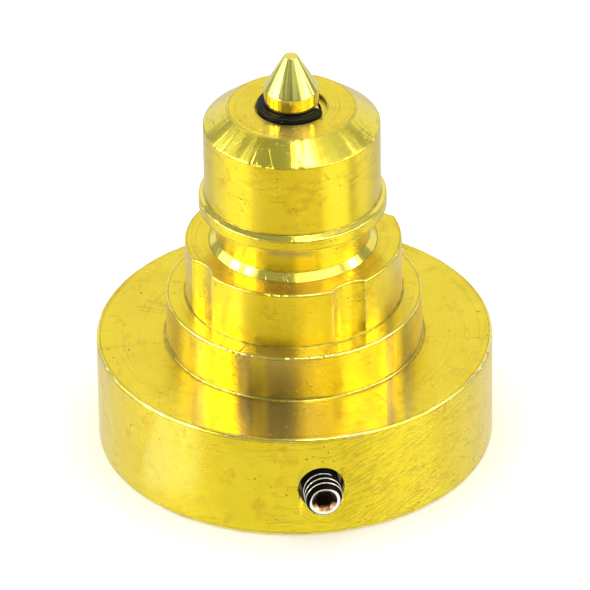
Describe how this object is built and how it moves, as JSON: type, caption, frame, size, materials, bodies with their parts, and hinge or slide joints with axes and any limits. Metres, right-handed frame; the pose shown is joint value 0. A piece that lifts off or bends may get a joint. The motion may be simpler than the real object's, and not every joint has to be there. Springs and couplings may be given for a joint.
{
  "type": "live center",
  "caption": "Stepped brass housing with a free-turning 60 degree point on ball bearings, and a flange that clamps on a tailstock spindle with a set screw.",
  "frame": {"origin": "on the spindle axis, in the plane of the flange's base face", "axes": "+Z along the spindle axis, from the base to the point; -Y towards the set screw's side, which is turned 7.15 degrees from -Y towards +X"},
  "size_m": [0.0508, 0.0538, 0.0557],
  "materials": {
    "housing_brass": "bright turned brass, lightly worn",
    "spindle_brass": "bright polished brass",
    "black_steel": "black oxide, satin",
    "bearing_steel": "ground bearing steel",
    "cage_steel": "pressed steel",
    "sleeve_steel": "turned steel",
    "clip_steel": "dark spring steel",
    "plug_steel": "turned steel",
    "screw_steel": "bright steel with dark thread roots",
    "pad_brass": "plain brass"
  },
  "bodies": {
    "housing": {"housing": "housing_brass", "lower_outer_ring": "bearing_steel", "upper_outer_ring": "bearing_steel", "retaining_plug": "plug_steel"},
    "spindle": {"spindle": "spindle_brass", "keeper_ring": "black_steel", "lower_inner_ring": "bearing_steel", "upper_inner_ring": "bearing_steel", "spacer_sleeve": "sleeve_steel", "spindle_circlip": "clip_steel"},
    "lower_cage": {"lower_cage": "cage_steel", "lower_ball_1": "bearing_steel", "lower_ball_2": "bearing_steel", "lower_ball_3": "bearing_steel", "lower_ball_4": "bearing_steel", "lower_ball_5": "bearing_steel", "lower_ball_6": "bearing_steel", "lower_ball_7": "bearing_steel"},
    "upper_cage": {"upper_cage": "cage_steel", "upper_ball_1": "bearing_steel", "upper_ball_2": "bearing_steel", "upper_ball_3": "bearing_steel", "upper_ball_4": "bearing_steel", "upper_ball_5": "bearing_steel", "upper_ball_6": "bearing_steel", "upper_ball_7": "bearing_steel", "upper_ball_8": "bearing_steel"},
    "clamp_pad": {"clamp_pad": "pad_brass"},
    "set_screw": {"set_screw": "screw_steel"}
  },
  "joints": [
    {"name": "spindle_spin", "type": "hinge", "parent": "housing", "child": "spindle", "pos_m": [0, 0, 0.02], "axis": [0, 0, 1], "continuous": true},
    {"name": "lower_cage_turn", "type": "hinge", "parent": "housing", "child": "lower_cage", "pos_m": [0, 0, 0.01995], "axis": [0, 0, 1], "continuous": true},
    {"name": "upper_cage_turn", "type": "hinge", "parent": "housing", "child": "upper_cage", "pos_m": [0, 0, 0.0414], "axis": [0, 0, 1], "continuous": true},
    {"name": "pad_slide", "type": "slide", "parent": "housing", "child": "clamp_pad", "axis": [-0.1245, 0.9922, 0], "range_m": [0, 0.00287]},
    {"name": "screw_turn", "type": "hinge", "parent": "clamp_pad", "child": "set_screw", "pos_m": [0.00316, -0.0252, 0.0071], "axis": [-0.1245, 0.9922, 0], "range_deg": [0, 978]}
  ],
  "couplings": [
    {"joint": "lower_cage_turn", "follows": "spindle_spin", "ratio": 0.36773},
    {"joint": "upper_cage_turn", "follows": "spindle_spin", "ratio": 0.39524},
    {"joint": "screw_turn", "follows": "pad_slide", "rad_per_m": 5936.9}
  ]
}
